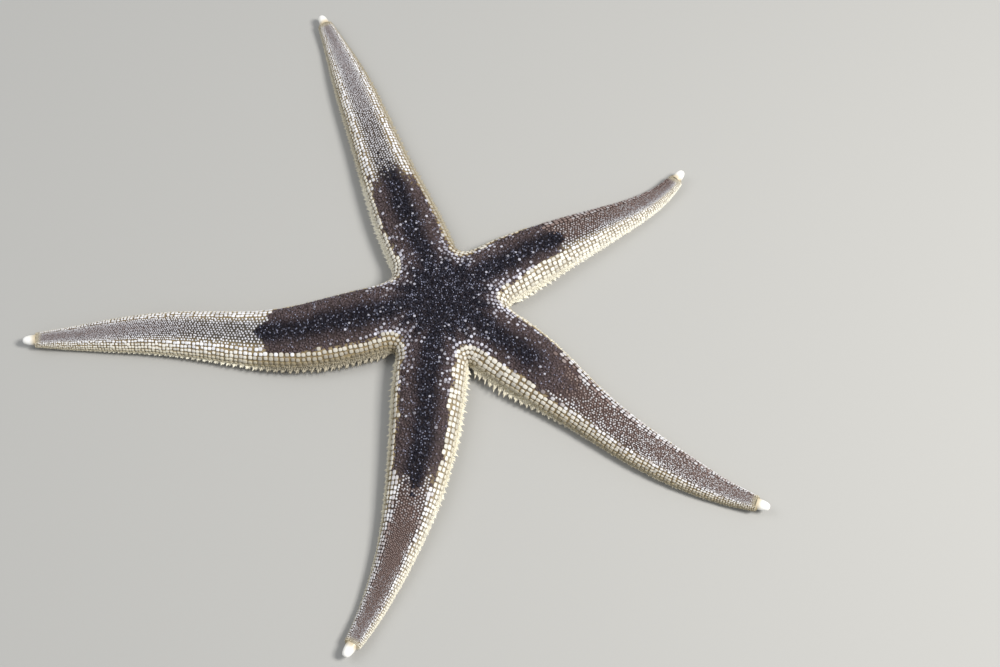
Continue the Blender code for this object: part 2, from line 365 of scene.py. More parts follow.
def markings(side, along, share):
    """What the skin and the coat look like at these places.

    pale is 1 in the rows along the edge, inner 1 in the dark inner part of an arm, mid rises
    to 1 in the middle of the back, shade is how dark and purple the outer part's own colour is, and
    low marks the yellower lowest rows of the sides, whose crowns are also darkened as painted
    shade, and the yellowish ring before the tip.
    """
    arm = side.arm
    t = along / arm.length
    ragged = arm.border + 0.03 * smoothstep(0.62, 0.95, share) - 0.3 * arm.blur * (1 - share)
    ragged += arm.border_lean * side.sign * (1 - share)
    ragged += 0.6 * arm.blur * wander(16 * share, side.seed, 2)
    inner = 1 - smoothstep(ragged - arm.blur, ragged + arm.blur, t)
    inner = np.maximum(inner, 3 * arm.blur * (1 - smoothstep(ragged, ragged + 0.13, t)))
    rows = smooth_through(side.own(arm.pale_rows), t) + 0.5 * wander(along, side.seed, 4)
    row = share / side.band(along) * EDGE_ROWS
    spread = 0.15 + 1.1 * smoothstep(0, 0.08, t - arm.border)
    pale = 1 - smoothstep(rows - spread, rows + 0.6 * spread, row)
    mid = smoothstep(0.52, 0.9, share + 0.06 * wander(along, side.seed + 3, 5))
    mid = mid * (1 - smoothstep(arm.core_end - 0.07, arm.core_end + 0.02, t))
    centre = smoothstep(15, 7, along) * smoothstep(0.3, 0.62, share)
    shade = smooth_through(arm.shades, np.clip((t - arm.border) / (1 - arm.border), 0, 1))
    shade = shade * (0.2 + 0.8 * smoothstep(rows - 1.2, rows + 4.5, row))
    tip = smoothstep(arm.flesh_end - 2.6, arm.flesh_end - 0.8, along)
    pale = np.maximum(pale, tip)
    # Each edge's sand colour and painted shade, which turns into painted light where the value is
    # below 0
    inner_sand_and_shade, outer_sand_and_shade = side.own(arm.sandy)
    sandy = inner_sand_and_shade + (outer_sand_and_shade - inner_sand_and_shade) * smoothstep(-0.02, 0.06, t - arm.border)
    sandy = sandy * (1 - 0.7 * smoothstep(1, 4, row))
    return {
        "edge": 1 - smoothstep(4.5, 7, row),
        "sandy": np.maximum(sandy, 0),
        "bright": np.maximum(-sandy, 0),
        "pale": pale,
        "inner": inner * (1 - pale),
        "mid": np.maximum(mid, centre),
        "shade": shade + arm.lean * side.sign * (1 - share),
        "low": np.maximum(1 - smoothstep(0.6, 2.6, row), 0.55 * tip),
    }


# --- Finishes


class Value:
    """A shader socket that can be added to and multiplied."""

    def __init__(self, finish, socket):
        self.finish = finish
        self.socket = socket

    def __add__(self, other):
        return self.finish.maths("ADD", self, other)

    def __mul__(self, other):
        return self.finish.maths("MULTIPLY", self, other)

    __radd__ = __add__
    __rmul__ = __mul__


class Finish:
    """A material and the means to add nodes to it."""

    def __init__(self, name, ior=1.45, specular=0.5):
        self.material = bpy.data.materials.new(name)
        self.material.use_nodes = True
        self.tree = self.material.node_tree
        self.shader = self.tree.nodes["Principled BSDF"]
        self.shader.inputs["IOR"].default_value = ior
        self.shader.inputs["Specular IOR Level"].default_value = specular

    def feed(self, socket, value):
        """Feeds a socket: a name stands for the mesh's own values, and a colour gets its alpha."""
        if isinstance(value, str):
            value = self.value(value)
        if isinstance(value, Value):
            self.tree.links.new(value.socket, socket)
        else:
            socket.default_value = (*value, 1) if isinstance(value, tuple) else value

    def node(self, kind, settings=None, sockets=None, output=0):
        made = self.tree.nodes.new(kind)
        for name, setting in (settings or {}).items():
            setattr(made, name, setting)
        for name, value in (sockets or {}).items():
            self.feed(made.inputs[name], value)
        return Value(self, made.outputs[output])

    def maths(self, operation, *values):
        return self.node("ShaderNodeMath", {"operation": operation}, dict(enumerate(values)))

    def mix(self, factor, one, two):
        sockets = {0: factor, 6: one, 7: two}
        return self.node("ShaderNodeMix", {"data_type": "RGBA"}, sockets, output=2)

    def laid(self, colour, **over):
        """A colour with others laid over it, each as far as the mesh's value of its name."""
        for name, upper in over.items():
            colour = self.mix(name, colour, upper)
        return colour

    def grade(self, value, low, high):
        """A smooth rise from 0 to 1 as the value goes from low to high."""
        sockets = {"Value": value, "From Min": low, "From Max": high}
        return self.node("ShaderNodeMapRange", {"interpolation_type": "SMOOTHSTEP"}, sockets)

    def value(self, name):
        return self.node("ShaderNodeAttribute", {"attribute_name": name}, output="Fac")

    def noise(self, scale, detail=2):
        where = self.node("ShaderNodeTexCoord", output="Object")
        sockets = {"Vector": where, "Scale": scale, "Detail": detail}
        return self.node("ShaderNodeTexNoise", {}, sockets)

    def finished(self, colour, roughness, grain, strength, depth):
        """The material in this colour and roughness, with a grain in its surface."""
        sockets = {"Height": grain, "Strength": strength, "Distance": depth}
        bump = self.node("ShaderNodeBump", {}, sockets)
        for name, value in (("Base Color", colour), ("Roughness", roughness), ("Normal", bump)):
            self.feed(self.shader.inputs[name], value)
        return self.material


GAP_OCHRE = (0.33, 0.255, 0.145)
GAP_CREAM = (0.40, 0.34, 0.22)
GAP_GREY = (0.085, 0.075, 0.06)
GAP_PURPLE = (0.085, 0.055, 0.048)
GAP_BROWN = (0.060, 0.043, 0.042)
GAP_BLACK = (0.007, 0.006, 0.010)
CROWN_CREAM = (0.78, 0.75, 0.68)
# Yellow of the crowns in the low rows, darkened as painted shade
CROWN_YELLOW_AND_SHADE = (0.50, 0.43, 0.28)
CROWN_WHITE = (0.86, 0.86, 0.89)
CROWN_LILAC = (0.52, 0.51, 0.55)
CROWN_PURPLE = (0.26, 0.195, 0.18)
CROWN_BROWN = (0.095, 0.067, 0.066)
CROWN_BLACK = (0.007, 0.006, 0.011)
# Whiter edges, partly their own colour and partly painted light
WARM_WHITE_AND_LIT = (0.97, 0.94, 0.83)
PEARL = (0.70, 0.70, 0.80)
# Sand colour that partly stands for painted shade on the edges
SAND_AND_SHADE = (0.28, 0.235, 0.16)
# Pale specks on the dark tufts, partly painted glints
FLECK_AND_GLINT = (0.50, 0.52, 0.70)
MOTTLE = (0.02, 0.012, 0.008)
SPINE_CREAM = (0.92, 0.86, 0.69)
SPINE_ROOT = (0.60, 0.52, 0.36)
SPINE_STREAK = (0.48, 0.40, 0.25)
CALCITE = (0.96, 0.95, 0.93)
CALCITE_CLOUD = (0.84, 0.79, 0.66)
CALCITE_BASE = (0.62, 0.52, 0.36)
FOOT_AMBER = (0.62, 0.42, 0.22)
FOOT_CLOUD = (0.75, 0.58, 0.36)
FOOT_TIP = (0.82, 0.74, 0.58)
FLOOR_LIGHT = (0.43, 0.425, 0.41)
FLOOR_DARK = (0.40, 0.395, 0.38)


def gap_colour(finish):
    """The skin's own colour between the paxillae."""
    outer = finish.laid(GAP_GREY, edge=GAP_OCHRE)
    outer = finish.mix(finish.grade("shade", 0.05, 0.45), outer, GAP_PURPLE)
    side = finish.laid(GAP_OCHRE, low=GAP_CREAM)
    # Painted light: the gaps of the whiter edges turn cream
    side = finish.mix(finish.value("bright") * 0.7, side, CROWN_CREAM)
    return finish.laid(outer, inner=finish.laid(GAP_BROWN, mid=GAP_BLACK), pale=side)


def skin_finish():
    finish = Finish("skin", 1.38, 0.25)
    mottle = finish.grade(finish.noise(260, 3), 0.3, 0.75)
    colour = finish.mix(mottle * 0.35, gap_colour(finish), MOTTLE)
    return finish.finished(colour, 0.5 + mottle * 0.2, finish.noise(2600), 0.4, 0.0002)


def paxilla_finish():
    finish = Finish("paxillae", 1.45, 0.11)
    chance = finish.value("chance")
    # Painted shade and light on the crowns: the low rows' yellow is darkened, edges are
    # sand-coloured and shaded, and some edges are whitened as if lit
    pale = finish.laid(CROWN_CREAM, low=CROWN_YELLOW_AND_SHADE, sandy=SAND_AND_SHADE, bright=WARM_WHITE_AND_LIT)
    outer = finish.mix(finish.value("mid") * 0.7, CROWN_WHITE, CROWN_LILAC)
    # The pale specks of the dark tufts stand partly for painted glints
    dark = finish.laid(CROWN_BROWN, mid=CROWN_BLACK, fleck=FLECK_AND_GLINT)
    crown = finish.laid(outer, own=CROWN_PURPLE, inner=dark, pale=pale, white=PEARL)
    crown = finish.mix(finish.grade(chance, 0.5, 0) * 0.3, crown, GAP_BROWN)
    colour = finish.mix(finish.grade("rise", 0.1, 0.62), gap_colour(finish), crown)
    return finish.finished(colour, 0.42 + chance * 0.2, finish.noise(5200, 1), 0.5, 0.00012)


def spine_finish():
    finish = Finish("spines", 1.5)
    streak = finish.grade(finish.noise(900), 0.35, 0.7)
    root = finish.mix(streak, SPINE_ROOT, SPINE_STREAK)
    spine = finish.mix(finish.grade("rise", 0, 0.4), root, SPINE_CREAM)
    # Painted light whitens the spines of some edges, and sand colour with painted shade dulls
    # others
    spine = finish.laid(spine, bright=WARM_WHITE_AND_LIT)
    colour = finish.mix(finish.value("sandy") * 0.8, spine, SAND_AND_SHADE)
    return finish.finished(colour, 0.34 + streak * 0.16, finish.noise(4000), 0.3, 0.0001)


def calcite_finish():
    finish = Finish("calcite", 1.5)
    cloud = finish.grade(finish.noise(700, 3), 0.3, 0.75)
    body = finish.mix(cloud * 0.3, CALCITE, CALCITE_CLOUD)
    colour = finish.mix(finish.grade("rise", 0, 0.35), CALCITE_BASE, body)
    return finish.finished(colour, 0.28 + cloud * 0.15, finish.noise(3000), 0.35, 0.0001)


def foot_finish():
    finish = Finish("tube_feet", 1.36)
    cloud = finish.grade(finish.noise(1500), 0.3, 0.7)
    body = finish.mix(cloud, FOOT_AMBER, FOOT_CLOUD)
    colour = finish.mix(finish.grade("rise", 0.5, 1), body, FOOT_TIP)
    return finish.finished(colour, 0.25 + cloud * 0.1, finish.noise(2500), 0.3, 0.0001)


def floor_finish():
    finish = Finish("floor")
    cloud = finish.noise(3)
    colour = finish.mix(cloud * 0.15, FLOOR_LIGHT, FLOOR_DARK)
    return finish.finished(colour, 0.75 + cloud * 0.1, finish.noise(900), 0.05, 0.0002)


# --- Making meshes


def put(name, data):
    """A new object in the scene."""
    made = bpy.data.objects.new(name, data)
    scene.collection.objects.link(made)
    return made


jaw_low, jaw_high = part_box("mouth_jaws")
disc_middle = 0.5 * (jaw_low + jaw_high)
disc_middle.z = 0


class Heap:
    """Patches and copies of small shapes, gathered to be joined into one mesh."""

    PATCH = 0.003  # the size of a copy's patch on the unwrap

    def __init__(self):
        self.parts = []
        self.count = 0

    def gather(self, points, faces, uv, values):
        """Takes in points, the faces between them, their places on the unwrap and values."""
        self.parts.append((points, faces + self.count, uv, values))
        self.count += len(points)

    def add(self, shape, place, up, onward, size, root, values):
        """One copy for each place: size is its length along, across and up in millimetres."""
        points, faces, rise = shape
        number, many = len(place), len(points)
        up = unit(up)
        across = unit(np.cross(up, onward))
        axes = np.stack((np.cross(across, up), across, up), axis=1)
        placed = place[:, None, :] + (points[None] * size[:, None, :]) @ axes
        order = faces[None] + (np.arange(number) * many)[:, None, None]
        around = self.PATCH * points[None, :, :2] / np.abs(points[:, :2]).max() * 0.5
        uv = (root[:, None, :] + around).reshape(-1, 2)
        spread = {key: np.repeat(numbers, many) for key, numbers in values.items()}
        spread["rise"] = np.tile(rise, number)
        self.gather(placed.reshape(-1, 3), order.reshape(-1, 3), uv, spread)

    def piece(self, name, material, slot, replaced=()):
        """One mesh of all that was gathered, with each point's values and place on the unwrap."""
        points, faces, uv, values = zip(*self.parts)
        points = np.concatenate(points) * MM + np.array(disc_middle)
        mesh = bpy.data.meshes.new(name)
        mesh.from_pydata(points, [], np.concatenate(faces).tolist())
        for key in values[0]:
            numbers = np.concatenate([part[key] for part in values]).astype(np.float32)
            mesh.attributes.new(key, "FLOAT", "POINT").data.foreach_set("value", numbers)
        corners = np.empty(len(mesh.loops), dtype=np.int32)
        mesh.loops.foreach_get("vertex_index", corners)
        spots = np.concatenate(uv)[corners].astype(np.float32).ravel()
        mesh.uv_layers.new(name="OFBake").data.foreach_set("uv", spots)
        mesh.materials.append(material)
        mesh.shade_smooth()
        piece = put(name, mesh)
        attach(piece, "root")
        if replaced:
            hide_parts(*replaced)
        return piece


def strip(side, along, share, under=False):
    """Places on the unwrap: each arm is a strip, its right edge low and its left edge high."""
    across = 0.5 + side.sign * (0.5 - 0.5 * np.clip(share, 0, 1)) * 0.96
    row = arms.index(side.arm) + across * 0.46 + (0.52 if under else 0.02)
    return np.stack((0.01 + 0.98 * along / side.arm.length, row / len(arms)), axis=-1)


# --- The skin

WEB_ROWS, ARM_ROWS = 24, 130
BACK_STEPS, UNDER_STEPS = 24, 20


def build_skin(material):
    """One closed skin: ten half arms that share their ridges, furrows and web middles."""
    heap = Heap()
    for side in sides.values():
        web = np.linspace(0, WEB_END, WEB_ROWS, endpoint=False)
        rows = np.concatenate((web, np.linspace(WEB_END, side.last, ARM_ROWS)))
        last = np.array([side.last])
        middle = side.arm.lift(last) + 0.5 * side.arm.full_height(last)
        end = (*side.arm.centre(last + 0.8)[0], middle[0])
        halves = ((False, side.back, BACK_STEPS), (True, side.under, UNDER_STEPS))
        for under, grid, steps in halves:
            along, share = crossed(rows, np.linspace(0, 1, steps + 1))
            points = side.read(grid, along, share)
            points[along >= side.last - 1e-6] = end
            index = np.arange(len(along)).reshape(len(rows), steps + 1)
            quads = np.stack((index[:-1, :-1], index[1:, :-1], index[1:, 1:], index[:-1, 1:]), -1)
            quads = quads.reshape(-1, 4)
            if (side.sign > 0) != under:
                quads = quads[:, ::-1]
            shown = markings(side, along, np.zeros_like(share) if under else share)
            heap.gather(points, quads, strip(side, along, share, under), shown)
    flesh = [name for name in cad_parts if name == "disc" or name.endswith(("inner", "outer"))]
    close_up(heap.piece("skin", material, "dark_skin", flesh))


def close_up(piece):
    """Joins the points that neighbouring patches share."""
    bm = bmesh.new()
    bm.from_mesh(piece.data)
    bmesh.ops.remove_doubles(bm, verts=bm.verts, dist=2e-6)
    bmesh.ops.dissolve_degenerate(bm, edges=bm.edges, dist=1e-7)
    bm.to_mesh(piece.data)
    bm.free()


# --- Small shapes: points one unit wide and high, triangles, and each point's rise


def ring(count, radius, height):
    """Points round the upright axis."""
    angle = 2 * math.pi * np.arange(count) / count
    x, y = radius * np.cos(angle), radius * np.sin(angle)
    return np.stack(np.broadcast_arrays(x, y, height), axis=1)


def wall(upper, lower):
    """Triangles between two loops of as many points."""
    upper_next, lower_next = np.roll(upper, -1), np.roll(lower, -1)
    corners = (upper, lower, lower_next, upper, lower_next, upper_next)
    return np.stack(corners, axis=1).reshape(-1, 3)


def fan(middle, loop):
    """Triangles from one point to a loop of points."""
    return np.stack((np.full(len(loop), middle), loop, np.roll(loop, -1)), axis=1)


def granular_plate(squareness):
    """A squarish plate with three by three granules on its crown."""
    steps = 6
    line = steps + 1
    i, j = crossed(np.arange(line), np.arange(line))
    u, v = 2 * i / steps - 1, 2 * j / steps - 1
    reach = np.maximum(abs(u), abs(v))
    length = (abs(u) ** squareness + abs(v) ** squareness) ** (1 / squareness)
    round_by = 0.5 * reach / np.maximum(length, 1e-9)
    granule = (i % 2 == 1) & (j % 2 == 1)
    height = 0.9 - 0.3 * reach**4 + 0.13 * granule
    top = np.stack((u * round_by, v * round_by, height), axis=1)
    rise = np.where(granule, 1, np.where(reach < 0.9, 0.75, 0.25))
    a = (i * line + j)[(i < steps) & (j < steps)]
    crown = np.stack((a, a + line, a + line + 1, a, a + line + 1, a + 1), axis=1).reshape(-1, 3)
    out, back = np.arange(steps), np.arange(steps, 0, -1)
    loop = np.concatenate((out * line, steps * line + out, back * line + steps, back))
    foot = top[loop] * (0.82, 0.82, 0) - (0, 0, 0.5)
    faces = np.concatenate((crown, wall(loop, len(top) + np.arange(len(loop)))))
    return np.concatenate((top, foot)), faces, np.append(rise, np.zeros(len(loop)))


def rosette(petals):
    """A small round paxilla: petals round one granule."""
    notch, dip = np.tile((1, 0.88), petals), np.tile((0, 1), petals)
    rims = [ring(2 * petals, 0.5 * notch, 0.66 - 0.12 * dip)]
    rims.append(ring(2 * petals, 0.36 * notch, -0.6 - 0.12 * dip))
    points = np.concatenate(([(0, 0, 1)], ring(petals, 0.2, 0.78), *rims))
    rise = np.concatenate(([1], np.full(petals, 0.65), 0.75 - 0.25 * dip, np.zeros(2 * petals)))
    a = 1 + np.arange(petals)
    rim = 1 + petals + np.arange(2 * petals)
    b, c, d, e = np.roll(a, -1), rim[::2], rim[1::2], np.roll(rim[::2], -1)
    slopes = np.stack((a, c, d, a, d, b, b, d, e), axis=1).reshape(-1, 3)
    return points, np.concatenate((fan(0, a), slopes, wall(rim, rim + 2 * petals))), rise


def tuft(petals):
    """A low spiky granule."""
    rims = ring(petals, 0.5, 0.7), ring(petals, 0.35, -0.6)
    points = np.concatenate(([(0, 0, 0.8)], *rims))
    a = 1 + np.arange(petals)
    rise = np.append(0.8, np.repeat((0.75, 0), petals))
    return points, np.concatenate((fan(0, a), wall(a, a + petals))), rise


def needle(count, rings, bend):
    """A spine from rings of (radius, height) to its point, leaning to +X."""
    rims = [ring(count, radius, height) + (bend * height**2, 0, 0) for radius, height in rings]
    index = np.arange(len(rings) * count).reshape(-1, count)
    faces = [wall(low, high)[:, ::-1] for low, high in zip(index, index[1:])]
    faces.append(fan(index.size, index[-1]))
    rise = np.append(np.repeat([height for _, height in rings], count), 1)
    return np.concatenate((*rims, [(bend, 0, 1)])), np.concatenate(faces), rise


LARGE = granular_plate(2.7)
SMALL = rosette(6)
TUFT = tuft(5)
SPINE = needle(6, ((1, -0.1), (0.95, 0.3), (0.6, 0.72)), 0.08)
SPINELET = needle(4, ((1, -0.1), (0.75, 0.6)), 0.1)
FOOT = needle(8, ((0.85, -0.1), (1, 0.15), (0.72, 0.5), (0.66, 0.8), (0.4, 0.96)), 0.1)
JAW = needle(10, ((0.7, 0), (1, 0.1), (0.9, 0.45), (0.62, 0.8), (0.35, 0.96)), 0)

# --- The paxillae

FIELD_ROWS = 6
FIELD_SPLIT = 0.63  # where the middle of an arm goes from one row fewer to all its rows
FINEST = 0.78  # the spacing of the rows at the ridge, as a share of it beside the large plates
TUFT_PITCH = 0.58
TUFT_SCATTER = 0.55
SHARE_START = 0.005  # the coat starts this far in from the edge
WEB_PITCH = 1.4  # the spacing of the large plates round the web
DISC_PITCH = 0.62
PEARL_PITCH = 1.3
PEARL_ROWS = 12
ROW_STEP = 0.87  # the spacing of rows of places whose neighbours stand 1 apart


def sizes(length, width, height):
    return np.stack(np.broadcast_arrays(length, width, height), axis=1).astype(float)


def jitter(spread, like):
    """A random offset for each value of an array."""
    return RNG.normal(0, spread, np.shape(like))


def spaced(pitch_of, start, end):
    """What gives places from start to end, spaced as pitch_of says, after an offset in spacings."""
    fine = np.linspace(start, end, 1200)
    run = running(np.diff(fine) / pitch_of(0.5 * (fine[1:] + fine[:-1])))
    return lambda offset: np.interp(np.arange(0, int(run[-1] - offset) + 1) + offset, run, fine)


def coat_values(side, along, share, **own):
    """The markings at these places, with the coat's own values, which are 0 if not given."""
    values = dict.fromkeys(("chance", "own", "white", "fleck"), np.zeros(len(along)))
    return {**markings(side, along, share), **values, **own}


def picked(keep, *arrays):
    return [numbers[keep] for numbers in arrays]


def lay(heap, shape, side, along, share, pitch, size):
    """Paxillae of these places and sizes, and small tufts instead of the dark ones."""
    share = np.clip(share, SHARE_START, 1)
    chance = RNG.random(len(along))
    dark = markings(side, along, share)["inner"] > 0.05 + 0.9 * chance
    lay_tufts(heap, side, *picked(dark, along, share, pitch))
    along, share, size, chance = picked(~dark, along, share, size, chance)
    values = coat_values(side, along, share, chance=chance)
    values["own"] = smoothstep(0.2, 0.9, values["shade"] + (chance - 0.5) * side.arm.mixed)
    whole = along < side.arm.border * side.arm.length
    values["pale"] = np.where(whole, np.round(values["pale"]), values["pale"])
    values["inner"] = 0.7 * values["inner"] * min(1, side.arm.blur / 0.05)
    heap.add(shape, *side.frame(along, share), size, strip(side, along, share), values)


def lay_tufts(heap, side, along, share, pitch):
    """Small tufts at random round these places."""
    many = np.maximum(1, np.round((pitch / TUFT_PITCH) ** 2)).astype(int)
    along, share, pitch = (np.repeat(numbers, many) for numbers in (along, share, pitch))
    scatter = RNG.uniform(-TUFT_SCATTER, TUFT_SCATTER, (2, len(along))) * pitch
    along = np.clip(along + scatter[0], 0, side.last)
    share = share + scatter[1] / side.arc_at(along)
    add_tufts(heap, side, along, np.clip(share, SHARE_START, 1))


def add_tufts(heap, side, along, share, spots=None):
    """A small tuft at each place, some of them with a pale top, partly a painted glint."""
    number = len(along)
    values = coat_values(side, along, share, pale=np.zeros(number), inner=np.ones(number))
    values["chance"] = RNG.random(number)
    speck_and_glint = RNG.random(number) < 0.15 + 0.13 * values["mid"]
    values["fleck"] = RNG.random(number) * np.where(speck_and_glint, 0.65, 0.05)
    place, up, onward = side.frame(along, share)
    if spots is not None:
        place[:, :2] = spots
    onward = onward + jitter(0.8, onward)
    big = TUFT_PITCH * (1.25 + jitter(0.15, along) - 1.2 * values["fleck"])
    tall = 0.3 + jitter(0.05, along) + 0.2 * values["fleck"]
    heap.add(TUFT, place, up, onward, sizes(big, big, tall), strip(side, along, share), values)


def round_web(side, share_at, pitch):
    """Distances along the arm for places that are pitch apart round the web."""
    web = np.linspace(0, WEB_END, 200)
    line = side.read(side.back, web, share_at(web))
    run = running(np.linalg.norm(np.diff(line, axis=0), axis=1))
    number = max(1, round(run[-1] / pitch))
    return np.interp((np.arange(number) + 0.5) / number * run[-1], run, web)


def lay_edge_rows(heap, side):
    """The rows of large squarish plates along one side, carried round the web."""
    arm = side.arm
    out = spaced(arm.plate_step, WEB_END, arm.flesh_end - 0.2)(0.5)
    for row in range(EDGE_ROWS):
        part = (row + 0.5) / EDGE_ROWS
        inner = round_web(side, lambda a: part * side.band(a), WEB_PITCH)
        along = np.concatenate((inner, out))
        pitch = arm.plate_pitch(along)
        across = side.band(along) * side.arc_at(along) / EDGE_ROWS
        share = part * side.band(along)
        along = along + jitter(0.075, along) * pitch
        waver = jitter(0.07, along) + 0.12 * part * wander(along, side.seed, 7)
        share += waver * pitch / side.arc_at(along)
        big = 0.89 + jitter(0.08, along)
        step = np.where(along < WEB_END, WEB_PITCH, arm.plate_step(along))
        size = sizes(big * step, big * across, 0.4 * pitch**0.5)
        lay(heap, LARGE, side, along, share, pitch, size)


def lay_field(heap, side, rows, start, end):
    """The finer paxillae of the middle of an arm, offset from row to row."""
    arm = side.arm
    parts = 1 - (1 - FINEST) * (np.arange(rows + 1) + 0.5) / rows
    reach = np.cumsum(parts) - 0.5 * parts
    loose = 0.06 + 0.14 * arm.mixed

    def mean_pitch(along):
        return side.arc_at(along) * (1 - side.band(along)) / (rows + 0.5)

    places = spaced(lambda a: 1.14 * mean_pitch(a), start, end)
    for row in range(rows + (side.sign > 0)):
        along = places(0.5 if row % 2 else 0)
        pitch = mean_pitch(along)
        band = side.band(along)
        share = band + (1 - band) * reach[row] / reach[-1]
        along = along + jitter(loose, along) * pitch
        share = share + jitter(loose, along) * pitch / side.arc_at(along)
        full = 0.70 + 0.18 * smoothstep(0.5, 0.85, along / arm.length)
        full = full * (0.4 + 0.6 * parts[row] / parts.mean())
        big = 1.04 * (full + jitter(0.07, along)) * pitch
        lay(heap, SMALL, side, along, share, pitch, sizes(big, big, np.minimum(0.5, 0.62 * big)))


def in_side(side, spots):
    """Which spots lie between the web's middle and the ridge of this side."""
    web = np.linspace(0, WEB_END, 24)
    edge = side.read(side.back, web, np.zeros(len(web)))[:, :2]
    ridge = side.arm.centre(np.linspace(WEB_END, 0, 12))
    loop = np.concatenate((side.edge[:1], edge, ridge))
    x, y = spots[:, 0], spots[:, 1]
    inside = np.zeros(len(spots), bool)
    for (ax, ay), (bx, by) in zip(loop, np.roll(loop, -1, axis=0)):
        if ay != by:
            inside ^= ((ay > y) != (by > y)) & (x < (bx - ax) * (y - ay) / (by - ay) + ax)
    return inside


def web_spots(side, grid, pitch):
    """Places spread evenly over one side of the disc and its web, and their plan positions."""
    far = 1.1 * WEB_END
    lines = int(far / (pitch * ROW_STEP))
    spots = []
    for k in range(-lines, lines + 1):
        x = np.arange(-far, far, pitch) + (0.5 * pitch if k % 2 else 0)
        spots.append(np.stack((x, np.full(len(x), k * pitch * ROW_STEP)), axis=1))
    spots = np.concatenate(spots)
    spots = spots + SPREAD.uniform(-0.4, 0.4, spots.shape) * pitch
    spots = spots[in_side(side, spots)]
    along, share = crossed(np.linspace(0, WEB_END, 110), np.linspace(0, 1, 70))
    plan = side.read(grid, along, share)[:, :2]
    near = np.array([((plan - spot) ** 2).sum(axis=1).argmin() for spot in spots])
    return along[near], share[near], spots


def lay_disc(heap):
    """The small tufts of the disc, from its middle out to the rows along the edges."""
    for side in sides.values():
        along, share, spots = web_spots(side, side.back, DISC_PITCH)
        keep = (share > side.band(along) + 0.05 / side.arc_at(along)) & (along < WEB_END)
        add_tufts(heap, side, *picked(keep, along, share, spots))


def lay_pearls(heap, side):
    """The large pale paxillae among the dark ones, in broken rows beside the pale edge."""
    arm = side.arm
    for row in range(1, PEARL_ROWS):
        depth = (row + 0.5) * PEARL_PITCH

        def share_at(along):
            return depth / side.arc_at(along)

        web = round_web(side, lambda a: np.minimum(share_at(a), 1), PEARL_PITCH)
        out = np.arange(WEB_END + 0.5 * PEARL_PITCH, 0.6 * arm.length, PEARL_PITCH)
        along = np.concatenate((web, out))
        along = along + jitter(0.22, along)
        share = share_at(along) + jitter(0.15, along) / side.arc_at(along)
        rows = smooth_through(side.own(arm.pale_rows), along / arm.length)
        within = depth - rows * side.band(along) * side.arc_at(along) / EDGE_ROWS
        near = 1.6 + 1.6 * smoothstep(22, 10, along)
        likely = np.exp(-np.maximum(within - 0.8, 0) / near) * smoothstep(44, 14, along)
        likely += 0.03 * smoothstep(60, 30, along)
        inner = markings(side, along, np.clip(share, 0, 1))["inner"]
        keep = (RNG.random(len(along)) < likely) & (share < 0.98) & (inner > 0.6)
        along, share, within = picked(keep, along, share, within)
        number = len(along)
        values = coat_values(side, along, share, chance=RNG.random(number))
        within = np.clip(within, 0, 9)
        values["white"] = 0.25 + 0.75 * RNG.random(number) * np.exp(-within / 12)
        place, up, onward = side.frame(along, share)
        onward = onward + jitter(0.3, onward)
        big = (1.04 + jitter(0.12, along)) * np.exp(-within / 22)
        size = sizes(big, big, 0.42)
        heap.add(LARGE, place, up, onward, size, strip(side, along, share), values)


def build_coat(material):
    for side in sides.values():
        heap = Heap()
        lay_edge_rows(heap, side)
        lay_pearls(heap, side)
        finer = FIELD_SPLIT * side.arm.length
        lay_field(heap, side, FIELD_ROWS - 1, WEB_END, finer)
        lay_field(heap, side, FIELD_ROWS, finer, side.arm.flesh_end - 0.2)
        heap.piece(f"paxillae_{side.arm.name}_{side.name}", material, "pale_skin")
    heap = Heap()
    lay_disc(heap)
    heap.piece("paxillae_disc", material, "dark_skin")


# --- The spines round the edge

# The spines of one edge plate: how far each hangs, points tipwards, its length and half widths,
# and where it stands: below the edge, and along from the plate's middle in plate pitches.
FAN = (
    (0.05, 0.40, 1.7, 0.32, 0.18, 0.1, -0.30),
    (0.08, 0.42, 2.2, 0.34, 0.18, 0.1, -0.15),
    (0.10, 0.45, 2.8, 0.34, 0.18, 0.1, 0),
    (0.08, 0.48, 2.3, 0.34, 0.18, 0.1, 0.13),
    (0.05, 0.50, 1.7, 0.32, 0.18, 0.1, 0.26),
    (0.45, 0.40, 2.1, 0.30, 0.16, 0.6, -0.12),
    (0.45, 0.50, 2.1, 0.30, 0.16, 0.6, 0.14),
    (1.00, 0.30, 1.4, 0.22, 0.14, 1.1, -0.1),
    (1.00, 0.50, 1.3, 0.22, 0.14, 1.1, 0.1),
)
SPINE_PITCH = 1.35  # the spacing of the edge plates that bear spines, in large plates
# The rows of small spines above them: how far up the side, and their length.
FUZZ = ((0.1, 1.6), (0.5, 1.4), (0.9, 1.2), (1.3, 1), (1.7, 0.8), (2.1, 0.6))
FUZZ_PITCH = 0.44
DOWN = np.array((0, 0, -1))


def edge_values(side, along, share):
    # The edge's sand colour and painted shade, and its painted light
    shown = markings(side, along, share)
    return {"sandy": shown["sandy"], "bright": shown["bright"]}


def level_ways(side, along):
    """The level ways along the arm and out from it, held steady inside the web."""
    ahead, left = side.arm.ways(np.maximum(along, WEB_END))
    level = ((0, 0), (0, 1))
    return np.pad(ahead, level), side.sign * np.pad(left, level)


def fringe_frame(side, along):
    """The edge, the ways out and along from it, and the size of spines there."""
    edge = side.read(side.back, along, np.zeros(len(along)))
    inner = side.read(side.back, along, np.full(len(along), 0.3))
    inner[:, 2] = edge[:, 2]
    shrink = side.arm.shrink(along) * (0.25 + 0.75 * smoothstep(6, 24, along))
    return edge, unit(edge - inner), level_ways(side, along)[0], shrink


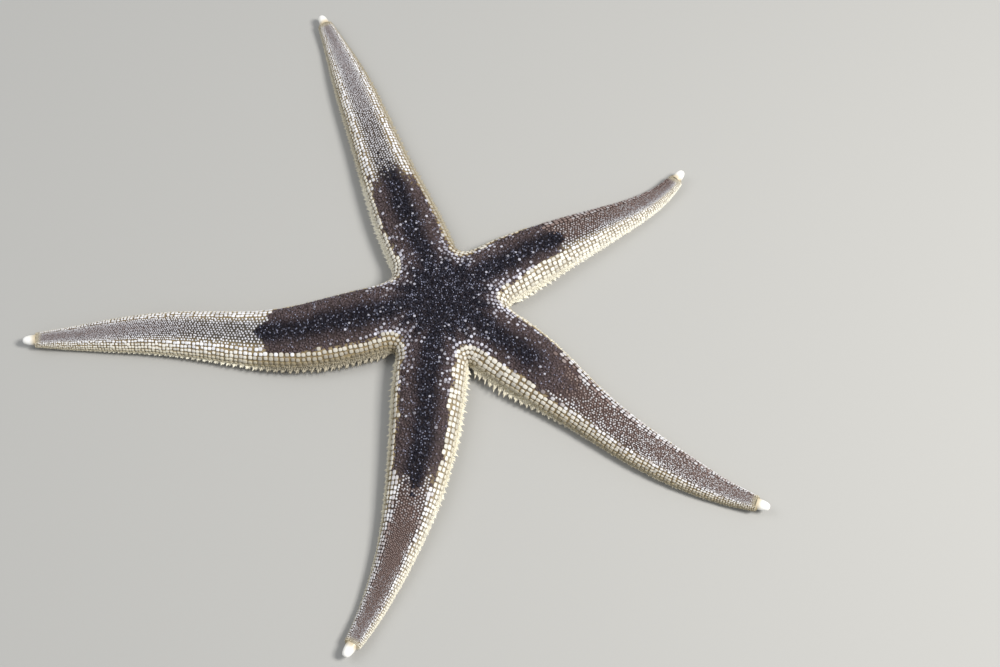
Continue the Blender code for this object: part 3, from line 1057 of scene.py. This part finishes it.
def lay_fans(heap, side, end):
    """On every edge plate a fan of flattened spines."""
    arm = side.arm
    plates = spaced(lambda a: SPINE_PITCH * arm.plate_pitch(a), 3, end)(0.5)
    spacing = SPINE_PITCH * arm.plate_pitch(plates)
    for hang, tipward, length, wide, thick, below, aside in FAN:
        along = np.clip(plates + (aside + jitter(0.04, plates)) * spacing, 0, side.last)
        edge, out, ahead, shrink = fringe_frame(side, along)
        way = out + (hang + jitter(0.05, along))[:, None] * DOWN
        way = way + (tipward + jitter(0.05, along))[:, None] * ahead
        reach = smooth_through(side.own(arm.spine_reach), along / arm.length)
        long = length * reach * shrink**0.5 * (1 + jitter(0.1, along))
        root = edge - 0.3 * out + below * DOWN * shrink[:, None]
        size = sizes(wide * shrink**0.4, thick * shrink**0.4, long)
        foot = np.zeros(len(along))
        values = edge_values(side, along, foot)
        heap.add(SPINE, root, way, ahead, size, strip(side, along, foot), values)


def lay_fuzz(heap, side, end):
    """Rows of small spines above the fans."""
    arm = side.arm
    inner_reach, outer_reach = arm.fuzz_reach
    for rise, length in FUZZ:
        along = spaced(lambda a: FUZZ_PITCH * arm.plate_pitch(a) / PLATE_PITCH, 1, end)(0.5)
        _, _, ahead, shrink = fringe_frame(side, along)
        reach = smoothstep(arm.border - 0.04, arm.border + 0.06, along / arm.length)
        reach = inner_reach + (outer_reach - inner_reach) * reach
        share = (rise * reach + jitter(0.1, along)) * shrink / side.arc_at(along)
        place, up, _ = side.frame(along, share)
        way = up + jitter(0.2, up) + 0.4 * ahead
        long = length * shrink**0.7 * (0.5 + 0.5 * reach) * (1 + jitter(0.15, along))
        size = sizes(0.22 * shrink**0.3, 0.16 * shrink**0.3, long)
        values = edge_values(side, along, share)
        heap.add(SPINELET, place - 0.1 * up, way, ahead, size, strip(side, along, share), values)


def build_spines(material):
    for arm in arms:
        heap = Heap()
        for sign in (1, -1):
            end = arm.flesh_end - 0.4
            lay_fans(heap, sides[arm.name, sign], end)
            lay_fuzz(heap, sides[arm.name, sign], end)
        heap.piece(f"spines_{arm.name}", material, "calcite_plate")


# --- The underside

FOOT_PITCH = 1.9
JAW_PAIRS = 5
JAW_SIZE = (0.95, 0.85, 4.1)
JAW_ROOT = 5.7  # how far out the roots of the jaws are
JAW_ASIDE = 0.95
JAW_HEIGHT = 1.3
JAW_SPINES = 4  # on each jaw
FIRST_SPINE = 6.8
# The rows of small spines under an arm: how far from its middle, in half widths, their spacing,
# length and half width, and how far they point outwards and tipwards.
UNDER_ROWS = (
    (1.02 * FURROW_SHARE, 0.75, 0.95, 0.17, -0.9, 0.15),
    (0.36, 1, 1, 0.2, 0.1, 0.9),
    (0.47, 1.05, 1.1, 0.2, 0.25, 0.9),
    (0.58, 1.05, 1.1, 0.2, 0.35, 0.9),
    (0.69, 1.05, 1.2, 0.2, 0.45, 0.9),
    (0.79, 1.05, 1.2, 0.2, 0.55, 0.9),
    (0.88, 1.05, 1.2, 0.2, 0.65, 0.9),
)
WEB_SPINE_PITCH = 0.95


def under_share(side, along, away):
    """The shares of the way in under the arm that lie these distances from the furrow's middle."""
    shares = np.linspace(0, 1, 60)
    place = side.read(side.under, *crossed(along, shares))[:, :2].reshape(len(along), -1, 2)
    gap = np.linalg.norm(place - side.arm.centre(along)[:, None], axis=2)
    return np.array([np.interp(x, row[::-1], shares[::-1]) for x, row in zip(away, gap)])


def lay_feet(heap, side):
    """A row of pointed tube feet along one side of the furrow."""
    arm = side.arm
    start = MOUTH_RADIUS + 1 + side.own((0, 0.5 * FOOT_PITCH))
    along = np.arange(start, arm.flesh_end - 4, FOOT_PITCH)
    along = along + jitter(0.12, along)
    shrink = arm.shrink(along)
    share = under_share(side, along, 1.15 * shrink)
    place = side.read(side.under, along, share)
    ahead, out = level_ways(side, along)
    lean = jitter(0.12, place[:, :2])
    way = DOWN + (0.1 + lean[:, :1]) * out + lean[:, 1:] * ahead
    room = place[:, 2] - arm.lift(along) - 0.12
    long = room * (0.93 + RNG.uniform(-0.1, 0, len(along)))
    size = sizes(0.6 * shrink**0.7, 0.6 * shrink**0.7, long)
    heap.add(FOOT, place, way, ahead, size, strip(side, along, share, True), {})


def lay_spinelets(heap, side, along, share, place, lean, loose, size_of):
    """Small spines at these places on the underside, leaning outwards and tipwards by lean."""
    ahead, out = level_ways(side, along)
    way = (lean[0] + jitter(loose, along))[:, None] * out
    way += (lean[1] + jitter(loose, along))[:, None] * ahead + 0.15 * DOWN
    # A little of the edges' sand colour, which partly stands for painted shade
    values = {"sandy": np.full(len(along), 0.15), "bright": np.zeros(len(along))}
    root = place - 0.05 * DOWN
    heap.add(SPINELET, root, way, ahead, size_of(), strip(side, along, share, True), values)


def lay_under_rows(heap, side):
    """Small spines that guard the furrow, and rows of flat ones out to the edge."""
    arm = side.arm
    end = arm.flesh_end - 1
    for away, pitch, length, wide, outward, tipward in UNDER_ROWS:
        along = spaced(lambda a: pitch * arm.shrink(a) ** 0.5, FIRST_SPINE, end)(0.5)
        shrink = arm.shrink(along)
        share = under_share(side, along, away * arm.half_width(along) + jitter(0.06, along))
        along, share, shrink = picked(share > 0.06, along, share, shrink)
        place = side.read(side.under, along, share)
        size = sizes(wide * shrink**0.4, 0.7 * wide * shrink**0.4, length * shrink**0.6)
        lay_spinelets(heap, side, along, share, place, (outward, tipward), 0.1, lambda: size)


def lay_web_spines(heap, side):
    """Small spines on the underside of the webs, beyond the rows under the arms."""
    arm = side.arm
    along, share, spots = web_spots(side, side.under, WEB_SPINE_PITCH)
    gap = np.linalg.norm(spots - arm.centre(along), axis=1)
    aside = np.abs(spots @ arm.ways(np.zeros(1))[1][0])
    keep = (gap > 0.93 * arm.half_width(along)) | (along < FIRST_SPINE - 0.2)
    keep &= (aside > 0.33 * WIDE) & (np.linalg.norm(spots, axis=1) > MOUTH_RADIUS + 0.9)
    along, share, spots = picked(keep, along, share, spots)
    place = side.read(side.under, along, share)
    place[:, :2] = spots

    def size_of():
        return sizes(0.2, 0.14, 1 + jitter(0.1, along))

    lay_spinelets(heap, side, along, share, place, (0.6, 0.5), 0.15, size_of)


def build_jaws(material):
    """Pairs of blunt jaws round the mouth, between the arms, with spines at their tips."""
    heap = Heap()

    def add(shape, place, way, size, spot):
        heap.add(shape, place[None], way[None], aside[None], np.array([size]), spot, {})

    for k in range(JAW_PAIRS):
        turn = math.radians(arms[0].headings[0]) + (k + 0.5) * 2 * math.pi / JAW_PAIRS
        out = np.array((math.cos(turn), math.sin(turn), 0))
        aside = np.array((-math.sin(turn), math.cos(turn), 0))
        for half in (1, -1):
            root = np.array(((0.05 + 0.09 * (2 * k + (half > 0)), 0.5),))
            place = JAW_ROOT * out + half * JAW_ASIDE * aside - JAW_HEIGHT * DOWN
            add(JAW, place, -out - half * 0.17 * aside, JAW_SIZE, root)
            for j in range(JAW_SPINES):
                tip = (2 + 0.75 * j) * out + half * (0.42 + 0.16 * j) * aside
                tip -= (JAW_HEIGHT - 0.62) * DOWN
                way = -out + half * 0.25 * j * aside + (0.25 + 0.1 * j) * DOWN
                spot = root + np.array((0, 0.08 * (j + 1)))
                add(SPINE, tip, way, (0.22, 0.2, 1.25 - 0.12 * j), spot)
    heap.piece("jaws", material, "calcite_plate", ["mouth_jaws"])


def build_underside(feet, spines):
    heap = Heap()
    for side in sides.values():
        lay_feet(heap, side)
    heap.piece("tube_feet", feet, "pale_skin")
    heap = Heap()
    for side in sides.values():
        lay_under_rows(heap, side)
        lay_web_spines(heap, side)
    heap.piece("spines_underneath", spines, "calcite_plate")


# --- The plate at each tip


def build_tip(arm, material):
    """The smooth rounded plate that ends an arm."""
    rings, around = 18, 28
    base = np.array([arm.flesh_end])
    start = arm.flesh_end - 0.5
    half, tall = 0.62 * arm.full_half_width(base)[0], arm.full_height(base)[0]
    part = np.linspace(0, 1, rings + 1)
    along = start + (arm.length - start) * np.sin(0.5 * math.pi * part)
    swell = np.cos(0.5 * math.pi * part)[:, None] ** 0.62
    swell[-1] = 0
    turn = 2 * math.pi * np.arange(around) / around
    across = half * swell * np.copysign(abs(np.cos(turn)) ** 0.9, np.cos(turn))
    flat = 0.35 * tall * swell * np.exp(-((across / (0.35 * half)) ** 2))
    height = 0.5 * tall * (1 + swell * np.sin(turn)) + np.where(np.sin(turn) < 0, flat, 0)
    height += arm.lift(along)[:, None]
    place = arm.centre(along)[:, None] + across[..., None] * arm.ways(along)[1][:, None]
    points = np.concatenate((place, height[..., None]), axis=2).reshape(-1, 3)
    uv = 0.02 + 0.96 * np.stack(crossed(part, np.arange(around) / around), axis=1)
    index = np.arange(len(points)).reshape(rings + 1, around)
    after = np.roll(index, -1, axis=1)
    faces = np.stack((index[:-1], index[1:], after[1:], after[:-1]), axis=-1).reshape(-1, 4)
    heap = Heap()
    heap.gather(points, faces, uv, {"rise": np.repeat(part, around)})
    heap.piece(f"tip_plate_{arm.name}", material, "calcite_plate", [f"arm_{arm.name}_tip"])


# --- The scene

FLOOR_HALF, FLOOR_LEVEL = 12, -0.00002  # in metres


def build_floor():
    mesh = bpy.data.meshes.new("floor")
    signs = ((-1, -1), (1, -1), (1, 1), (-1, 1))
    corners = [(x * FLOOR_HALF, y * FLOOR_HALF, FLOOR_LEVEL) for x, y in signs]
    mesh.from_pydata(corners, [], [(0, 1, 2, 3)])
    mesh.materials.append(floor_finish())
    put("floor", mesh)


def add_light(name, azimuth, elevation, distance, size, power, colour):
    """A square light, in degrees, metres and watts, that faces the disc's middle."""
    light = bpy.data.lights.new(name, "AREA")
    light.size = size
    light.energy = power
    light.color = colour
    holder = put(name, light)
    turn, rise = math.radians(azimuth), math.radians(elevation)
    way = Vector((math.cos(turn) * math.cos(rise), math.sin(turn) * math.cos(rise), math.sin(rise)))
    holder.location = disc_middle + distance * way
    holder.rotation_euler = way.to_track_quat("Z", "Y").to_euler()


def add_camera():
    """A normal lens, 62 degrees above the floor on the front side."""
    lens, sensor, width = 50, 36, 0.3095
    distance = lens / sensor * width
    rise = math.radians(62)
    aim = disc_middle + Vector((0.0174, -0.0077, 0))
    data = bpy.data.cameras.new("camera")
    data.lens = lens
    data.sensor_width = sensor
    data.clip_start = 0.01
    camera = put("camera", data)
    camera.location = aim + distance * Vector((0, -math.cos(rise), math.sin(rise)))
    camera.rotation_euler = (math.radians(90) - rise, 0, 0)
    scene.camera = camera


def add_sky():
    world = bpy.data.worlds.new("studio")
    world.use_nodes = True
    sky = world.node_tree.nodes["Background"]
    sky.inputs["Color"].default_value = (0.92, 0.96, 1, 1)
    sky.inputs["Strength"].default_value = 0.43
    scene.world = world


add_camera()
add_sky()
build_floor()
add_light("key", -12, 50, 0.9, 0.25, 8.5, (1, 0.98, 0.94))
add_light("fill", 165, 50, 1, 0.6, 2.7, (0.98, 0.98, 0.98))
scene.view_settings.view_transform = "Standard"

build_skin(skin_finish())
build_coat(paxilla_finish())
spines = spine_finish()
build_spines(spines)
build_underside(foot_finish(), spines)
calcite = calcite_finish()
build_jaws(calcite)
for arm in arms:
    build_tip(arm, calcite)
